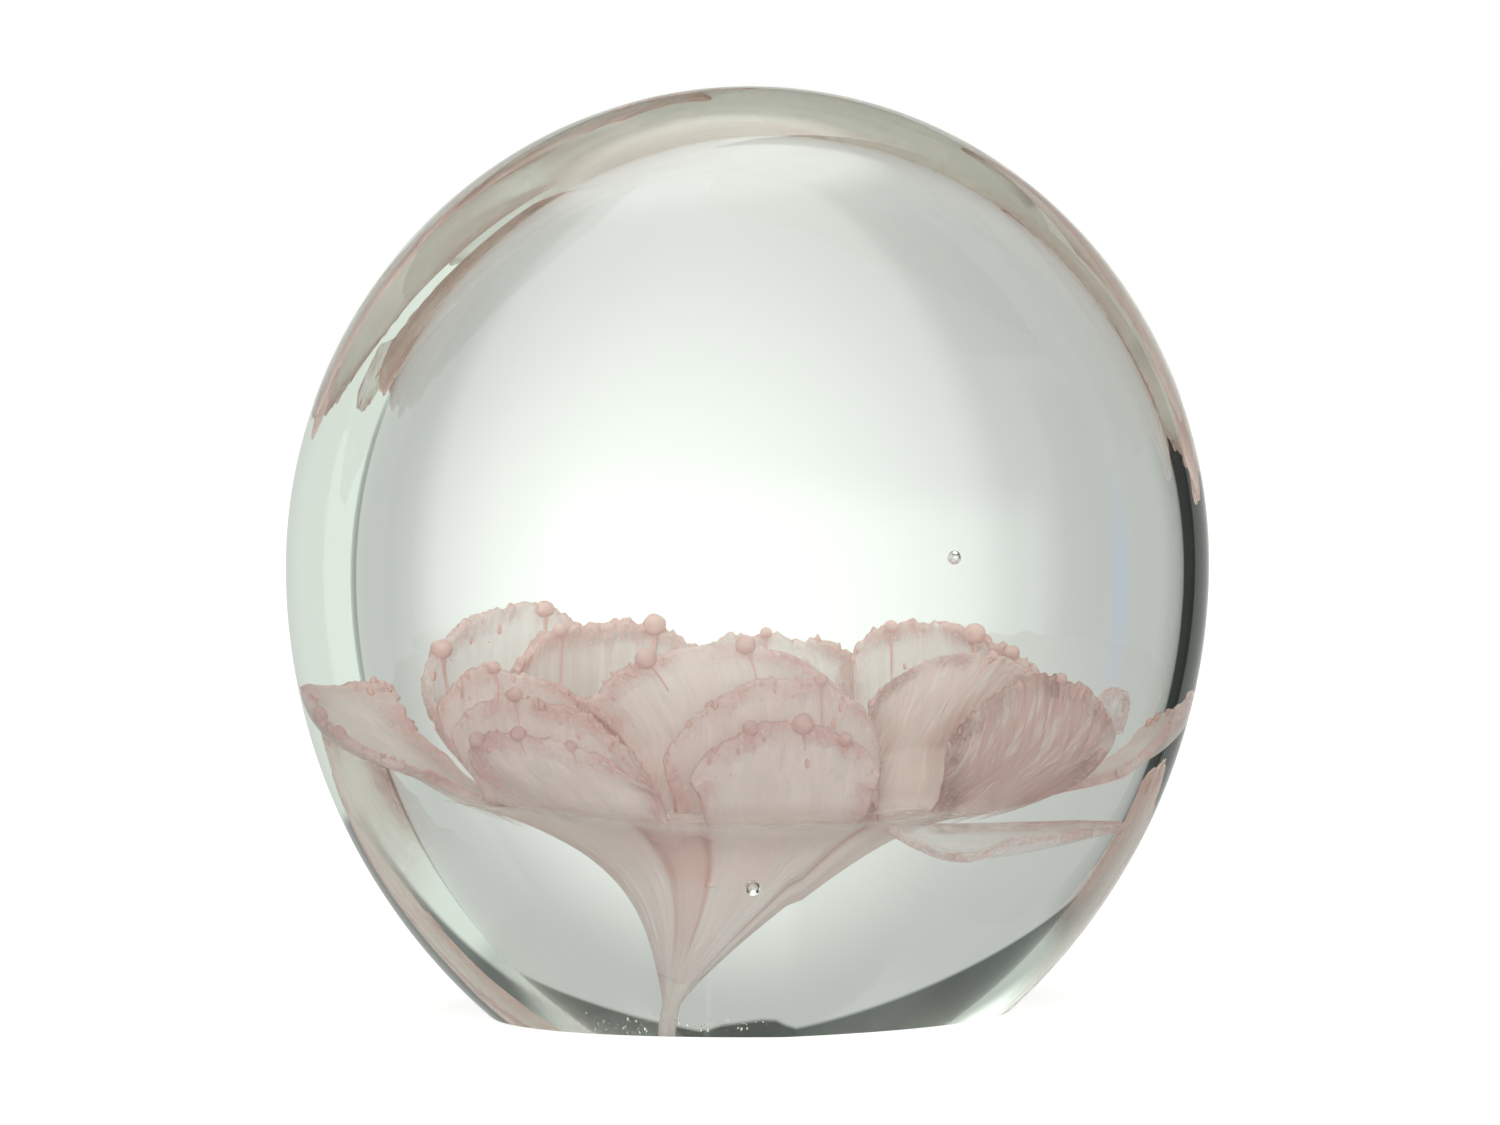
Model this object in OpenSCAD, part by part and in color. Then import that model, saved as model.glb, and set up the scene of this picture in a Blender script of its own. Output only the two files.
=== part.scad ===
// Flower paperweight: a flattened ball of clear glass with a flat resting face, cased
// around a pale pink glass flower. Millimetres, +Z up. The origin is the middle of the
// resting face and the broad front of the ball faces -Y.

/* [Glass body] */
// Widest diameter of the ball
body_w = 100; // [88:1:125]
// Height above the resting face
body_h = 99.5; // [88:0.5:125]
// Depth from front to back
body_d = 58; // [54:1:75]
// Height of the widest level above the resting face
widest_z = 48; // [45:1:54]
// Width of the flat resting face
base_w = 57; // [48:1:66]
// How square the ball is from front to back: 2 is an ellipse
squareness = 2.2; // [2:0.1:2.6]

/* [Flower] */
// Height of the flower, from the foot of its stem to its highest petal
flower_h = 46; // [43:0.5:52]
// Clear glass left beside the side petals
side_glass = 3; // [2.5:0.5:8]
// Clear glass left in front of and behind the flower
front_glass = 9; // [8:0.5:12]
// Thickness of the petals
petal_t = 0.9; // [0.6:0.1:1]
// Upright thickness of the trumpet
trumpet_t = 1.05; // [0.9:0.05:1.2]
// Diameter of the stem
stem_d = 1.8; // [1.2:0.1:2.6]
// Diameter of a middling bead on the petals' rims
bead_d = 1.7; // [1.2:0.1:2]
// Diameter of the bubble in the middle of the ball
bubble_d = 1.4; // [0.6:0.1:3]
// Diameter of the bubble in front of the trumpet
low_bubble_d = 1.6; // [0.6:0.1:3]
// Glass left between any two pieces of the flower
gap = 0.2; // [0.15:0.05:0.3]

/* [Hidden] */

$fn = 96;

// ---- Outline of the ball: half an ellipse on top of a circular arc ----
radius = body_w / 2;
rise = body_h - widest_z;      // height of the half ellipse
base_r = base_w / 2;
// The arc passes through the widest level, where it stands upright, and through the
// edge of the resting face. Its centre lies past the axis.
arc_x = (pow(radius, 2) - pow(base_r, 2) - pow(widest_z, 2)) / (2 * (radius - base_r));
arc_r = radius - arc_x;

half_depth = body_d / 2;
around = 64;                   // facets around the outline
through = 24;                  // facets from front to back

// Distance from the middle of the ball to its outline, at an angle above the horizon
function outline(angle) =
    let (c = arc_x * abs(cos(angle)))
    sin(angle) < 0 ? c + sqrt(c * c - pow(arc_x, 2) + pow(arc_r, 2))
    : 1 / norm([cos(angle) / radius, sin(angle) / rise]);
// Point of the ball's skin: angle around the outline, slice from front (-90) to back (90)
function skin_point(angle, slice) =
    let (r = outline(angle) * pow(max(0, cos(slice)), 2 / squareness))
    [r * cos(angle),
     half_depth * sign(slice) * pow(abs(sin(slice)), 2 / squareness),
     widest_z + r * sin(angle)];

// ---- Room for the flower ----
// The trumpet and the petals are drawn for a flower of this width, depth and height, and
// each direction then follows the room that the clear glass leaves.
drawn = [94, 40, 46];
grow = [(body_w - 2 * side_glass) / drawn.x, (body_d - 2 * front_glass) / drawn.y,
        flower_h / drawn.z];
function placed(p) = [p.x * grow.x, p.y * grow.y, p.z * grow.z];

// Air bubbles: [centre, diameter]
bubbles = [[placed([18, -8, 49.4]), bubble_d],
           [placed([-3.4, -19, 16.4]), low_bubble_d]];

// ---- Trumpet: oval rings around a leaning axis ----
foot_at = [-11.5, -15];        // where the stem meets the resting face
crown_at = [-3.5, -1.5];       // middle of the trumpet's rim
lean_h = 21;                   // height over which the axis leans
rim_r = [30.6, 17.6];          // half width and half depth of the rim, without the stem's own
rim_z = 25;                    // height of the rim
neck_z = 4;                    // height where the stem starts to flare
stem_top = 0.07;               // share of the flare that belongs to the stem
lobes = 7;                     // waves around the trumpet's rim
lobe_h = 0.2;
rim_tilt = 0.045;              // fall of the rim towards the right, per unit of width
rim_dip = 0.075;               // fall of the rim towards the front, per unit of depth
rings = 8;
ring_points = 28;

function smooth(t) = let (c = min(1, max(0, t))) c * c * (3 - 2 * c);
function axis_at(z) = crown_at + (foot_at - crown_at) * (1 - smooth(z / lean_h));
function flare_z(s) = neck_z + (rim_z - neck_z) * (1 - pow(1 - s, 2.2));
// Circle of the stem's size around each point of an oval, in the shape of one level
function level(at) =
    [for (j = [0:ring_points - 1])
        let (a = 360 * j / ring_points)
        at(a) + stem_d / 2 * [cos(a), sin(a), 0]];
function thread_ring(z) = level(function(a) placed([axis_at(z).x, axis_at(z).y, z]));
function flare_ring(s, up = 0) =
    let (z = flare_z(s), c = axis_at(z), r = rim_r * pow(s, 1.18))
    level(function(a)
        placed([c.x + r.x * cos(a), c.y + r.y * sin(a),
                z + lobe_h * pow(s, 6) * sin(lobes * a)
                - pow(s, 2) * (rim_tilt * r.x * cos(a) - rim_dip * r.y * sin(a))])
        + [0, 0, up]);

// ---- Petals: left root, right root, left rim, crown, right rim, bow, bowl, belly ----
// Left and right are as seen from outside the flower. Heights are measured from the level
// of the roots, seat_z above the trumpet's rim. Bow is how far the root curves outwards.
// A petal with a bowl spreads first and rises later, and one with a bowl under zero rises
// first. Belly is how far the middle of the sheet bulges outwards.
left_side = [[-26, 4.4, 1.5], [-31, -5.4, 1.3], [-32.5, 8, 10.3],
    [-42.3, 3, 8.3], [-36.4, -7.4, 2.1], 0.5, 0.4, 0.5];
right_side = [[24.6, -5, -0.9], [24.2, 4.8, -0.6], [36.5, -5, 1.3],
    [42, 1.5, 8.3], [36, 7.6, 5.3], 1, 0.6, 0.5];
right_lower = [[10.5, -14.4, -4.4], [16, -6, -4.5], [24, -15, -6],
    [35.5, -9.4, -5.4], [31, -2, -4.3], 0.5, 0, 0.3];
right_curl = [[32.4, -6.6, 4.6], [35, -3.6, 4.8], [32.6, -7, 7.8],
    [34.2, -5.6, 9.4], [35.9, -3.6, 7.9], 0.2, 0, 0.2];
back_left = [[-13.6, 10.6, 0.2], [-22.2, 7, 0.9], [-14, 14, 13.8],
    [-22.5, 12.5, 17.5], [-30, 7, 10.3], 0.8, 0.7, 1];
back_inner_left = [[-5.8, 6.5, -2.7], [-18.5, 2.8, -1.5], [-6, 10.6, 12.8],
    [-14, 9.6, 16.5], [-22.6, 6, 11.7], 0.8, 0.8, 1];
back_centre = [[8.5, 8.5, -0.9], [-4.6, 9, -1.3], [10.2, 13.4, 12.3],
    [2, 15, 14.3], [-7, 13.4, 12.7], 0.8, 0.7, 1];
back_right = [[20.6, 4.2, -0.8], [10.2, 6.6, -1.3], [27.5, 6.5, 9.8],
    [18, 11, 15.8], [9.8, 10.4, 12.1], 0.8, 0.8, 1];
middle_left = [[-26.8, -2.8, 0.6], [-12.4, -3.6, -1.7], [-31.2, -1.6, 7.9],
    [-23.5, -2, 11.7], [-13, -3.4, 2.9], 0.6, 0.5, 1];
middle_centre = [[-11.4, -7.4, -1.9], [7.2, -6.6, -2.3], [-18.2, -5.8, 7.7],
    [-5.5, -6.4, 14.3], [7.4, -5.6, 7.9], 1, -0.4, 1.2];
middle_right = [[9, -5.6, -1.8], [18, -4.4, -1.3], [10, -3.2, 7.7],
    [19.5, -2.6, 12.9], [27, -2.2, 8.7], 0.8, -0.3, 1];
front_left_outer = [[-28.4, -7.8, 0.7], [-12, -11.4, -1.1], [-31.8, -9, 5.5],
    [-23, -10.8, 8.9], [-12.6, -11.8, 0.3], 0.6, 0.5, 0.8];
front_left_inner = [[-28.2, -12, 0.7], [-12.2, -16.8, -0.8], [-31, -13.6, 2.7],
    [-25, -16, 5.7], [-13, -17.6, -0.5], 0.8, 0.5, 0.8];
front_centre_outer = [[-10.2, -12.2, -1.3], [10, -11.2, -1.7], [-11.6, -12.4, 2.7],
    [-0.5, -13.8, 11.1], [9.8, -11.8, 4.3], 0.8, 0.4, 1];
front_centre_inner = [[-8.4, -17.4, -0.9], [8.6, -16.2, -1.1], [-9.9, -18, 0.7],
    [-0.5, -18.6, 6.7], [9.6, -16.6, 1.3], 0.9, 0.3, 0.7];
front_right = [[16, -12.4, -1.4], [26.6, -7, -1.3], [16.6, -13.4, 2.9],
    [26, -12.8, 10.7], [34.6, -7.8, 4.3], 0.8, 0.6, 1.2];

seat_z = trumpet_t + petal_t / 2 + gap; // level of the roots above the trumpet's rim
crown_power = 0.65;   // under 1: the rim is a dome with steep sides
ruffle = 0.016;       // height of the waves along the rim, per unit of its width
ruffles = 2.5;        // waves across one petal
across = 10;
along = 5;

function unit(a) = a / norm(a);
// Point of a petal's middle sheet: u from -1 to 1 across it, v from root to rim
function petal_point(p, u, v) =
    let (t = (u + 1) / 2,
         middle = max(0, 1 - u * u),
         outward = unit([p[1].y - p[0].y, p[0].x - p[1].x, 0]),
         root = p[0] + (p[1] - p[0]) * t + outward * p[5] * middle,
         crown = p[3] - (p[2] + p[4]) / 2,
         rim = p[2] + (p[4] - p[2]) * t + crown * pow(middle, crown_power),
         level = v + p[6] * v * (1 - v),
         climb = v - p[6] * v * (1 - v),
         wave = ruffle * norm(p[4] - p[2]) * pow(v, 3) * sin(360 * ruffles * u),
         far = rim - root)
    placed([0, 0, rim_z] + root + [far.x * level, far.y * level, far.z * climb]
           + outward * (p[7] * sin(180 * v) * middle + wave))
    + [0, 0, seat_z];

// Direction of the sheet's thickness, taken a little inside so that it stays steady where
// a petal tapers to a point
inside = 0.75;
function petal_normal(p, u, v) =
    let (e = 0.04, w = inside * u)
    unit(cross(petal_point(p, w + e, v) - petal_point(p, w - e, v),
               petal_point(p, w, v + e) - petal_point(p, w, v - e)));

// Closed sheet between two grids of points, each a list of rows of the same length
module sheet(front, back) {
    m = len(front) - 1;
    n = len(front[0]) - 1;
    side = (m + 1) * (n + 1);
    points = concat([for (row = front) each row], [for (row = back) each row]);
    function at(i, j, s) = s * side + i * (n + 1) + j;
    function quad(a, b, c, d) = [[a, b, c], [a, c, d]];
    faces = concat(
        [for (i = [0:m - 1], j = [0:n - 1])
            each quad(at(i, j, 0), at(i, j + 1, 0), at(i + 1, j + 1, 0), at(i + 1, j, 0))],
        [for (i = [0:m - 1], j = [0:n - 1])
            each quad(at(i, j, 1), at(i + 1, j, 1), at(i + 1, j + 1, 1), at(i, j + 1, 1))],
        [for (i = [0:m - 1]) each quad(at(i, 0, 0), at(i + 1, 0, 0), at(i + 1, 0, 1), at(i, 0, 1))],
        [for (i = [0:m - 1]) each quad(at(i, n, 0), at(i, n, 1), at(i + 1, n, 1), at(i + 1, n, 0))],
        [for (j = [0:n - 1]) each quad(at(0, j, 0), at(0, j, 1), at(0, j + 1, 1), at(0, j + 1, 0))],
        [for (j = [0:n - 1]) each quad(at(m, j, 0), at(m, j + 1, 0), at(m, j + 1, 1), at(m, j, 1))]);
    polyhedron(points, faces);
}

module petal(p) {
    half = petal_t / 2;
    function grid(shift) =
        [for (i = [0:across])
            [for (j = [0:along])
                let (u = sin(90 * (2 * i / across - 1)), v = j / along)
                petal_point(p, u, v) + shift * petal_normal(p, u, v)]];
    sheet(grid(half), grid(-half));
}

// Round bead just off the rim of a petal, at u across it
bead_stand = 0.56;    // height of a bead's middle over the rim, per unit of its diameter
module bead(p, u, d) {
    rim = petal_point(p, u, 1);
    out = unit(rim - petal_point(p, u, 0.9));
    translate(rim + out * (bead_stand * d + gap))
        sphere(d = d, $fn = 24);
}

// Loft through rings of points, closed at both ends by flat caps
module loft(loops) {
    n = len(loops[0]);
    m = len(loops) - 1;
    points = [for (r = loops) each r];
    faces = concat(
        [for (i = [0:m - 1], j = [0:n - 1])
            let (a = i * n + j, b = i * n + (j + 1) % n)
            each [[a, a + n, b + n], [a, b + n, b]]],
        [[for (j = [0:n - 1]) j]],
        [[for (j = [n - 1:-1:0]) m * n + j]]);
    polyhedron(points, faces);
}

// ---- Pieces ----
module ball() {
    slices = [for (i = [1:through - 1]) 180 * i / through - 90];
    points = concat([[0, -half_depth, widest_z], [0, half_depth, widest_z]],
        [for (t = slices, j = [0:around - 1]) skin_point(360 * j / around, t)]);
    function at(i, j) = 2 + i * around + j % around;
    last = len(slices) - 1;
    faces = concat(
        [for (j = [0:around - 1]) [0, at(0, j + 1), at(0, j)]],
        [for (j = [0:around - 1]) [1, at(last, j), at(last, j + 1)]],
        [for (i = [0:last - 1], j = [0:around - 1])
            each [[at(i, j), at(i, j + 1), at(i + 1, j + 1)], [at(i, j), at(i + 1, j + 1), at(i + 1, j)]]]);
    intersection() {
        polyhedron(points, faces);
        translate([-body_w, -body_w, 0])
            cube(2 * body_w);
    }
}

module glass_body() {
    color([0.86, 0.93, 0.9, 0.35])
        difference() {
            ball();
            for (b = bubbles)
                translate(b[0])
                    sphere(d = b[1], $fn = 24);
            flower();
        }
}

module stem() {
    color([0.93, 0.87, 0.84])
        loft(concat([thread_ring(0), thread_ring(neck_z / 2)],
                    [for (i = [0:2]) flare_ring(stem_top * i / 2)]));
}

module trumpet() {
    start = stem_top + 0.01;
    floor_s = 0.42;            // below this the trumpet's throat is solid
    outer = [for (i = [0:rings]) flare_ring(start + (1 - start) * i / rings)];
    inner = [for (i = [rings:-1:0]) flare_ring(floor_s + (1 - floor_s) * i / rings, trumpet_t)];
    color([0.85, 0.72, 0.68])
        loft(concat(outer, inner));
}

petal_pink = [0.87, 0.74, 0.71];
rib_pink = [0.74, 0.55, 0.53];
bead_pink = [0.86, 0.62, 0.61];

module left_side_petal() { color(petal_pink) petal(left_side); }
module right_side_petal() { color(petal_pink) petal(right_side); }
module right_lower_petal() { color(petal_pink) petal(right_lower); }
module right_curl_petal() { color(petal_pink) petal(right_curl); }
module back_left_petal() { color(petal_pink) petal(back_left); }
module back_inner_left_petal() { color(petal_pink) petal(back_inner_left); }
module back_centre_petal() { color(petal_pink) petal(back_centre); }
module back_right_petal() { color(petal_pink) petal(back_right); }
module middle_left_petal() { color(petal_pink) petal(middle_left); }
module middle_centre_petal() { color(petal_pink) petal(middle_centre); }
module middle_right_petal() { color(rib_pink) petal(middle_right); }
module front_left_outer_petal() { color(petal_pink) petal(front_left_outer); }
module front_left_inner_petal() { color(petal_pink) petal(front_left_inner); }
module front_centre_outer_petal() { color(petal_pink) petal(front_centre_outer); }
module front_centre_inner_petal() { color(petal_pink) petal(front_centre_inner); }
module front_right_petal() { color(rib_pink) petal(front_right); }

// Beads: [petal, place across it from -1 to 1, size against a middling bead]
module beads(list) {
    color(bead_pink)
        for (b = list)
            bead(b[0], b[1], b[2] * bead_d);
}

module back_beads() {
    beads([[back_left, -0.5, 0.95], [back_left, 0.75, 1.1], [back_inner_left, -0.6, 1.5],
           [back_inner_left, 0.5, 0.8], [back_centre, 0, 0.7], [back_right, -0.4, 1.2],
           [back_right, 0.5, 0.8], [back_right, -0.75, 0.9]]);
}

module middle_beads() {
    beads([[middle_left, -0.3, 0.8], [middle_centre, -0.55, 1.25], [middle_centre, 0.2, 1.2],
           [middle_right, 0.35, 0.7]]);
}

module front_beads() {
    beads([[front_left_outer, -0.3, 0.9], [front_left_inner, -0.75, 1],
           [front_left_inner, -0.2, 0.95], [front_left_inner, 0.35, 0.8],
           [front_centre_outer, 0.4, 0.8], [front_centre_inner, -0.35, 1],
           [front_centre_inner, 0.2, 1.3], [front_centre_inner, 0.65, 0.85],
           [front_right, -0.2, 0.75], [front_right, 0.3, 0.75]]);
}

module side_beads() {
    beads([[left_side, 0.3, 1.05], [left_side, 0.6, 0.9], [right_side, 0, 0.8]]);
}

// Every piece of the flower: the glass is hollow wherever one of them lies
module flower() {
    stem();
    trumpet();
    left_side_petal();
    right_side_petal();
    right_lower_petal();
    right_curl_petal();
    back_left_petal();
    back_inner_left_petal();
    back_centre_petal();
    back_right_petal();
    middle_left_petal();
    middle_centre_petal();
    middle_right_petal();
    front_left_outer_petal();
    front_left_inner_petal();
    front_centre_outer_petal();
    front_centre_inner_petal();
    front_right_petal();
    back_beads();
    middle_beads();
    front_beads();
    side_beads();
}

glass_body();
stem();
trumpet();
left_side_petal();
right_side_petal();
right_lower_petal();
right_curl_petal();
back_left_petal();
back_inner_left_petal();
back_centre_petal();
back_right_petal();
middle_left_petal();
middle_centre_petal();
middle_right_petal();
front_left_outer_petal();
front_left_inner_petal();
front_centre_outer_petal();
front_centre_inner_petal();
front_right_petal();
back_beads();
middle_beads();
front_beads();
side_beads();
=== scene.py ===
"""Looks of the flower paperweight: a clear glass ball around a pale pink glass flower.

The ball and every piece of the flower are built again as finer meshes in the frame of the
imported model, from the formulas of its solids. The petals get ruffles, frit and roots that grow
out of the trumpet, whose front wall is a little fuller. Every piece gets a procedural glass
material. Lengths are in millimetres until they are placed.
"""
import math

import bmesh
import bpy
import numpy as np
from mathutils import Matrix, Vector, noise


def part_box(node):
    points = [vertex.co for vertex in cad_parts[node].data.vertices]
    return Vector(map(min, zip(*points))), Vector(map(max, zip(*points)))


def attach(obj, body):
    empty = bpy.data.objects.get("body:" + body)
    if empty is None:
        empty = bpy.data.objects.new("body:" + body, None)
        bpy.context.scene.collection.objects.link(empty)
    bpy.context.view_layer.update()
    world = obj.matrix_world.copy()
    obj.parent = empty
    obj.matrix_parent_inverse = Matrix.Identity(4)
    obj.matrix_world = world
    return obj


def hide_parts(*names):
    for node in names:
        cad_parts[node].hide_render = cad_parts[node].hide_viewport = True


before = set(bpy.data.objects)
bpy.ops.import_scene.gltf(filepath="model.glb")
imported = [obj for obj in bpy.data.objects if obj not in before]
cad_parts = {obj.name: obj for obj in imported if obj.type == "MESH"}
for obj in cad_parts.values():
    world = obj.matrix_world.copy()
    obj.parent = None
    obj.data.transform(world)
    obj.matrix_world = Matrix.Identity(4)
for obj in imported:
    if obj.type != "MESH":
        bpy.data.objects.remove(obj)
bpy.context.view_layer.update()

MM = 0.001
BODY = "root"

# ---------------------------------------------------------------- sizes
ball_low, ball_high = (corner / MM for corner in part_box("glass_body"))
BALL_W = ball_high.x - ball_low.x
BALL_D = ball_high.y - ball_low.y
BALL_H = ball_high.z - ball_low.z
WIDEST_Z = 48.0          # height of the widest level
BASE_W = 57.0            # width of the resting face
SQUARENESS = 2.2
RADIUS = BALL_W / 2
RISE = BALL_H - WIDEST_Z
ARC_X = (RADIUS**2 - (BASE_W / 2) ** 2 - WIDEST_Z**2) / (2 * (RADIUS - BASE_W / 2))
ARC_R = RADIUS - ARC_X

SIDE_GLASS = 3.0
FRONT_GLASS = 9.0
FLOWER_H = 46.0
GROW = np.array([(BALL_W - 2 * SIDE_GLASS) / 94, (BALL_D - 2 * FRONT_GLASS) / 40, FLOWER_H / 46])
RIM_Z = 25.0             # height of the trumpet's rim
SEAT_Z = 1.7             # level of the petals' roots above the trumpet's rim
STEM_R = 0.9
PETAL_T = 0.9
TRUMPET_T = 1.05


def placed(x, y, z):
    return Vector((x * GROW[0], y * GROW[1], z * GROW[2]))


def smooth(t):
    t = min(1.0, max(0.0, t))
    return t * t * (3 - 2 * t)


def ripple(x, y, z=0.0):
    """Smooth noise from -1 to 1."""
    return noise.noise(Vector((x, y, z)))


# ---------------------------------------------------------------- meshes
def add_piece(name, mesh, material, node):
    """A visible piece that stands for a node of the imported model."""
    mesh.materials.append(material)
    for polygon in mesh.polygons:
        polygon.use_smooth = True
    piece = bpy.data.objects.new(name, mesh)
    bpy.context.scene.collection.objects.link(piece)
    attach(piece, BODY)
    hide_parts(node)
    return piece


def grid_mesh(name, rows, uvs):
    """Quads between rows of points. Each row joins its last point to its first."""
    count = len(rows[0])
    mesh = bpy.data.meshes.new(name)
    faces = []
    corner_uvs = []
    for i in range(len(rows) - 1):
        for j in range(count):
            faces.append([i * count + j, i * count + (j + 1) % count,
                          (i + 1) * count + (j + 1) % count, (i + 1) * count + j])
            corner_uvs += [uvs(i, j), uvs(i, j + 1), uvs(i + 1, j + 1), uvs(i + 1, j)]
    mesh.from_pydata([Vector(p) * MM for row in rows for p in row], [], faces)
    layer = mesh.uv_layers.new(name="UVMap")
    for loop, uv in zip(layer.data, corner_uvs):
        loop.uv = uv
    return mesh


def capped(mesh):
    """Closes the open ends of a mesh and turns its faces outwards."""
    work = bmesh.new()
    work.from_mesh(mesh)
    bmesh.ops.holes_fill(work, edges=[e for e in work.edges if e.is_boundary], sides=0)
    bmesh.ops.recalc_face_normals(work, faces=work.faces)
    work.to_mesh(mesh)
    work.free()
    return mesh


# ---- ball, with its bubbles and the seeds of air round the foot of the stem
# [middle, diameter]
BUBBLES = [(placed(18, -8, 49.4), 1.4), (placed(-3.4, -19, 16.4), 1.6)]
SEEDS = 90
GOLDEN_ANGLE = 2.39996


def outline(angle):
    """Reach of the ball's outline from its middle, at an angle above the horizon."""
    along, up = abs(math.cos(angle)), math.sin(angle)
    if up < 0:
        return ARC_X * along + math.sqrt((ARC_X * along) ** 2 - ARC_X**2 + ARC_R**2)
    return 1 / math.hypot(along / RADIUS, up / RISE)


def air_bubble(work, centre, size, rounds):
    made = bmesh.ops.create_icosphere(work, subdivisions=rounds, radius=size / 2 * MM)
    bmesh.ops.translate(work, verts=made["verts"], vec=centre * MM)
    faces = {f for v in made["verts"] for f in v.link_faces}
    bmesh.ops.reverse_faces(work, faces=list(faces))


def seed_places():
    """Places and sizes of the seeds: a spiral by the golden angle, shaken by noise."""
    for k in range(SEEDS):
        share = (k + 0.5) / SEEDS
        turn = GOLDEN_ANGLE * k
        reach = 9.5 * math.sqrt(share) + 1.5 * ripple(k * 1.7, 3.1)
        lift = abs(ripple(k * 2.3, 8.4))
        size = 0.12 + 0.4 * max(0.0, ripple(k * 1.1, 5.2))
        yield (placed(FOOT_AT[0] + 1.2 + 1.1 * reach * math.cos(turn),
                      FOOT_AT[1] + 4.5 + 0.75 * reach * math.sin(turn),
                      1.2 + 2.4 * lift + 0.8 * share), size)


def ball_mesh():
    around, through = 256, 128
    rows = []
    for i in range(through + 1):
        t = math.pi * i / through - math.pi / 2
        share = max(0.0, math.cos(t)) ** (2 / SQUARENESS)
        y = BALL_D / 2 * math.copysign(abs(math.sin(t)) ** (2 / SQUARENESS), t)
        row = []
        for j in range(around):
            angle = 2 * math.pi * j / around
            reach = outline(angle) * share
            row.append((reach * math.cos(angle), y, WIDEST_Z + reach * math.sin(angle)))
        rows.append(row)
    mesh = grid_mesh("glass_ball", rows, lambda i, j: (j / around, i / through))
    work = bmesh.new()
    work.from_mesh(mesh)
    bmesh.ops.remove_doubles(work, verts=work.verts, dist=1e-6)
    everything = list(work.verts) + list(work.edges) + list(work.faces)
    cut = bmesh.ops.bisect_plane(work, geom=everything, plane_co=(0, 0, 0),
                                 plane_no=(0, 0, -1), clear_outer=True)
    edges = [e for e in cut["geom_cut"] if isinstance(e, bmesh.types.BMEdge)]
    bmesh.ops.contextual_create(work, geom=edges)
    bmesh.ops.recalc_face_normals(work, faces=work.faces)
    for centre, size in BUBBLES:
        air_bubble(work, centre, size, 4)
    for centre, size in seed_places():
        air_bubble(work, centre, size, 2)
    work.to_mesh(mesh)
    work.free()
    return mesh


# ---- trumpet and stem
FOOT_AT = (-11.5, -15.0)
CROWN_AT = (-3.5, -1.5)
LEAN_H = 21.0
RIM_R = (30.6, 17.6)
FLARE = 1.18             # how slowly the radius grows with s, from 0 at the neck to 1 at the rim
NECK_Z = 4.0
STEM_TOP = 0.07
LOBES = 7
LOBE_H = 0.2
RIM_TILT = 0.045
RIM_DIP = 0.075
FULLNESS = 2.2           # power of the wall's profile: a lower one is a fuller wall
FRONT = -90              # angle of the front of the trumpet in degrees, from +X towards +Y
FRONT_FULLER = 0.75      # how much lower the power is there
FRONT_WIDTH = 48         # half width of the fuller part in degrees
# creases that run from the rim to the stem: [angle, half width, depth as a share of the radius]
CREASES = [(-119, 5, 0.06), (-101, 4, 0.07), (-54, 6, 0.09), (-30, 7, 0.04), (-140, 8, 0.04),
           (0, 10, 0.04), (45, 12, 0.05), (90, 10, 0.05), (140, 12, 0.05), (180, 9, 0.04)]
RIDGE = -110             # angle of the deeper pink ridge between the first two creases
LIP_THINNER = 0.7        # share of the wall's thickness that the lip lacks
THROAT_S = 0.42          # the trumpet is solid below this share of its flare


def smooth_steps(t):
    t = np.clip(t, 0, 1)
    return t * t * (3 - 2 * t)


def away_from(a, degrees):
    """Angle in degrees, from -180 to 180, between a (radians) and a direction."""
    return (np.degrees(a) - degrees + 180) % 360 - 180


def axis_at(z):
    lean = 1 - smooth_steps(z / LEAN_H)
    return [c + (f - c) * lean for c, f in zip(CROWN_AT, FOOT_AT)]


def pleat(s, a):
    """Share of the trumpet's radius that is left where creases draw it in."""
    depth = sum(deep * np.exp(-((away_from(a, middle) / (width * (1.5 - 0.7 * s))) ** 2))
                for middle, width, deep in CREASES)
    return 1 - depth * smooth_steps(s * 5) * (1 - 0.75 * smooth_steps((s - 0.75) * 4))


def flare(s, a, up=0.0):
    """Points of the trumpet's outside for arrays of s (0 at the neck, 1 at the rim) and angle."""
    c, d = np.cos(a), np.sin(a)
    fullness = FULLNESS - FRONT_FULLER * np.exp(-((away_from(a, FRONT) / FRONT_WIDTH) ** 2))
    z = NECK_Z + (RIM_Z - NECK_Z) * (1 - np.clip(1 - s, 0, None) ** fullness)
    x, y = axis_at(z)
    rx, ry = (r * s**FLARE for r in RIM_R)
    wave = LOBE_H * s**6 * np.sin(LOBES * a) - RIM_TILT * s * s * rx * c + RIM_DIP * s * s * ry * d
    share = pleat(s, a)
    points = np.stack([x + rx * share * c, y + ry * share * d, z + wave], axis=-1) * GROW
    return points + np.stack([STEM_R * c, STEM_R * d, 0 * c + up], axis=-1)


def flare_place(points):
    """s and angle of the trumpet under points of a petal's root."""
    x = (points[..., 0] / GROW[0] - CROWN_AT[0]) / RIM_R[0]
    y = (points[..., 1] / GROW[1] - CROWN_AT[1]) / RIM_R[1]
    return np.hypot(x, y) ** (1 / FLARE), np.arctan2(y, x)


def flow_lines(s, a):
    """Fine relief of the trumpet along its flow, in millimetres outwards."""
    c, d = math.cos(a), math.sin(a)
    return (0.28 * ripple(4 * c, 4 * d, s * 1.2) + 0.16 * ripple(13 * c, 13 * d, s * 1.2)
            + 0.07 * ripple(34 * c, 34 * d, s * 2)) * smooth(s * 4)


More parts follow.
